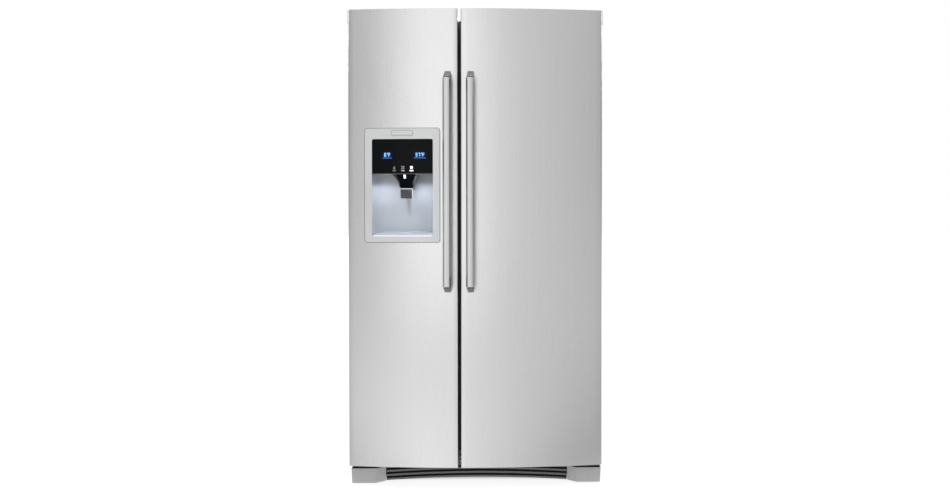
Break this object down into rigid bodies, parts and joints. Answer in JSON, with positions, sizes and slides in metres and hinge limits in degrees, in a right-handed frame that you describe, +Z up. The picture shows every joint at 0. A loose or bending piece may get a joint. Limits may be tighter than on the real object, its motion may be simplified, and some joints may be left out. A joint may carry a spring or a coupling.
{
  "type": "side by side refrigerator",
  "caption": "Side by side refrigerator with a bowed stainless front, two bar handles, an ice and water dispenser, drawers, door bins and a louvred toe grille.",
  "frame": {"origin": "on the floor under the middle of the whole appliance, handles included", "axes": "+Z up, -Y the side the doors face, +X to the right when facing the doors"},
  "size_m": [0.916, 0.876, 1.72],
  "materials": {
    "brushed_stainless": "vertical brushed grain, satin",
    "handle_steel": "satin, fine lengthwise grain",
    "handle_mount_metal": "dark grey satin",
    "case_paint": "fine pebbled paint, low sheen",
    "galvanised_sheet": "plain galvanised sheet",
    "hinge_metal": "zinc and dark paint, satin",
    "black_enamel": "black enamel",
    "insulation": "rigid polyurethane foam, closed in by the skins",
    "white_liner": "moulded, satin gloss",
    "white_basket": "moulded, satin gloss",
    "clear_plastic": "clear, glossy",
    "shelf_glass": "tempered pane with moulded rails",
    "silver_plastic": "silver, satin",
    "niche_plastic": "silver, satin, lit from above by cool light",
    "black_glass": "black, mirror gloss, with blue figures",
    "dark_plastic": "dark, satin",
    "charcoal_plastic": "charcoal, satin",
    "black_plastic": "black, matte",
    "grey_plastic": "mid grey, satin",
    "gasket_rubber": "black, soft, matte"
  },
  "bodies": {
    "cabinet": {"cabinet_wrapper": "case_paint", "insulation_foam": "insulation", "freezer_liner": "white_liner", "fridge_liner": "white_liner", "rear_panel": "galvanised_sheet", "base_frame": "galvanised_sheet", "compressor": "black_enamel", "condenser_coil": "black_enamel", "toe_grille": "charcoal_plastic", "base_corner_left": "grey_plastic", "base_corner_right": "grey_plastic", "upper_hinge_left": "hinge_metal", "upper_hinge_right": "hinge_metal", "hinge_cover_left": "charcoal_plastic", "hinge_cover_right": "charcoal_plastic", "lower_hinge_left": "hinge_metal", "lower_hinge_right": "hinge_metal", "freezer_shelf": "shelf_glass", "fridge_shelf_upper": "shelf_glass", "fridge_shelf_middle": "shelf_glass", "fridge_shelf_lower": "shelf_glass", "ice_maker": "white_liner"},
    "freezer_door": {"freezer_door_skin": "brushed_stainless", "freezer_door_core": "insulation", "freezer_door_liner": "white_liner", "freezer_door_cap": "grey_plastic", "freezer_door_gasket": "gasket_rubber", "freezer_handle_bar": "handle_steel", "freezer_handle_mount_upper": "handle_mount_metal", "freezer_handle_mount_lower": "handle_mount_metal", "dispenser_bezel": "silver_plastic", "display_panel": "black_glass", "dispenser_niche": "niche_plastic", "dispenser_chute": "dark_plastic", "freezer_door_bin_upper": "clear_plastic", "freezer_door_bin_lower": "clear_plastic"},
    "fridge_door": {"fridge_door_skin": "brushed_stainless", "fridge_door_core": "insulation", "fridge_door_liner": "white_liner", "fridge_door_cap": "grey_plastic", "fridge_door_gasket": "gasket_rubber", "fridge_handle_bar": "handle_steel", "fridge_handle_mount_upper": "handle_mount_metal", "fridge_handle_mount_lower": "handle_mount_metal", "dairy_bin": "clear_plastic", "fridge_door_bin_upper": "clear_plastic", "fridge_door_bin_lower": "clear_plastic"},
    "dispenser_paddle": {"dispenser_paddle": "dark_plastic"},
    "drip_tray": {"drip_tray": "niche_plastic"},
    "dairy_lid": {"dairy_lid": "clear_plastic"},
    "ice_bucket": {"ice_bucket": "clear_plastic"},
    "freezer_basket_upper": {"freezer_basket_upper": "white_basket"},
    "freezer_basket_lower": {"freezer_basket_lower": "white_basket"},
    "crisper_upper": {"crisper_upper": "clear_plastic"},
    "crisper_lower": {"crisper_lower": "clear_plastic"},
    "leveling_leg_left": {"leveling_leg_left": "hinge_metal"},
    "leveling_leg_right": {"leveling_leg_right": "hinge_metal"},
    "rear_roller_left": {"rear_roller_left": "black_plastic"},
    "rear_roller_right": {"rear_roller_right": "black_plastic"},
    "condenser_fan": {"condenser_fan": "black_plastic"}
  },
  "joints": [
    {"name": "freezer_door_hinge", "type": "hinge", "parent": "cabinet", "child": "freezer_door", "pos_m": [-0.438, -0.314, 0.082], "axis": [0, 0, -1], "range_deg": [0, 120]},
    {"name": "fridge_door_hinge", "type": "hinge", "parent": "cabinet", "child": "fridge_door", "pos_m": [0.438, -0.314, 0.082], "axis": [0, 0, 1], "range_deg": [0, 120]},
    {"name": "dispenser_paddle_hinge", "type": "hinge", "parent": "freezer_door", "child": "dispenser_paddle", "pos_m": [-0.2515, -0.285, 1.0895], "axis": [1, 0, 0], "range_deg": [0, 10], "stiffness_Nm_per_rad": 0.2, "springref_deg": -8.59},
    {"name": "drip_tray_slide", "type": "slide", "parent": "freezer_door", "child": "drip_tray", "axis": [0, -1, 0], "range_m": [0, 0.06]},
    {"name": "dairy_lid_hinge", "type": "hinge", "parent": "fridge_door", "child": "dairy_lid", "pos_m": [0.191, -0.2825, 1.545], "axis": [1, 0, 0], "range_deg": [0, 65]},
    {"name": "ice_bucket_slide", "type": "slide", "parent": "cabinet", "child": "ice_bucket", "axis": [0, -1, 0], "range_m": [0, 0.065]},
    {"name": "freezer_basket_upper_slide", "type": "slide", "parent": "cabinet", "child": "freezer_basket_upper", "axis": [0, -1, 0], "range_m": [0, 0.12]},
    {"name": "freezer_basket_lower_slide", "type": "slide", "parent": "cabinet", "child": "freezer_basket_lower", "axis": [0, -1, 0], "range_m": [0, 0.12]},
    {"name": "crisper_upper_slide", "type": "slide", "parent": "cabinet", "child": "crisper_upper", "axis": [0, -1, 0], "range_m": [0, 0.12]},
    {"name": "crisper_lower_slide", "type": "slide", "parent": "cabinet", "child": "crisper_lower", "axis": [0, -1, 0], "range_m": [0, 0.12]},
    {"name": "leveling_leg_left_turn", "type": "hinge", "parent": "cabinet", "child": "leveling_leg_left", "pos_m": [-0.4255, -0.235, 0.044], "axis": [0, 0, 1], "continuous": true},
    {"name": "rear_roller_left_spin", "type": "hinge", "parent": "cabinet", "child": "rear_roller_left", "pos_m": [-0.425, 0.36, 0.022], "axis": [1, 0, 0], "continuous": true},
    {"name": "leveling_leg_right_turn", "type": "hinge", "parent": "cabinet", "child": "leveling_leg_right", "pos_m": [0.4255, -0.235, 0.044], "axis": [0, 0, 1], "continuous": true},
    {"name": "rear_roller_right_spin", "type": "hinge", "parent": "cabinet", "child": "rear_roller_right", "pos_m": [0.425, 0.36, 0.022], "axis": [1, 0, 0], "continuous": true},
    {"name": "condenser_fan_spin", "type": "hinge", "parent": "cabinet", "child": "condenser_fan", "pos_m": [0.09, 0.31, 0.15], "axis": [1, 0, 0], "continuous": true}
  ]
}
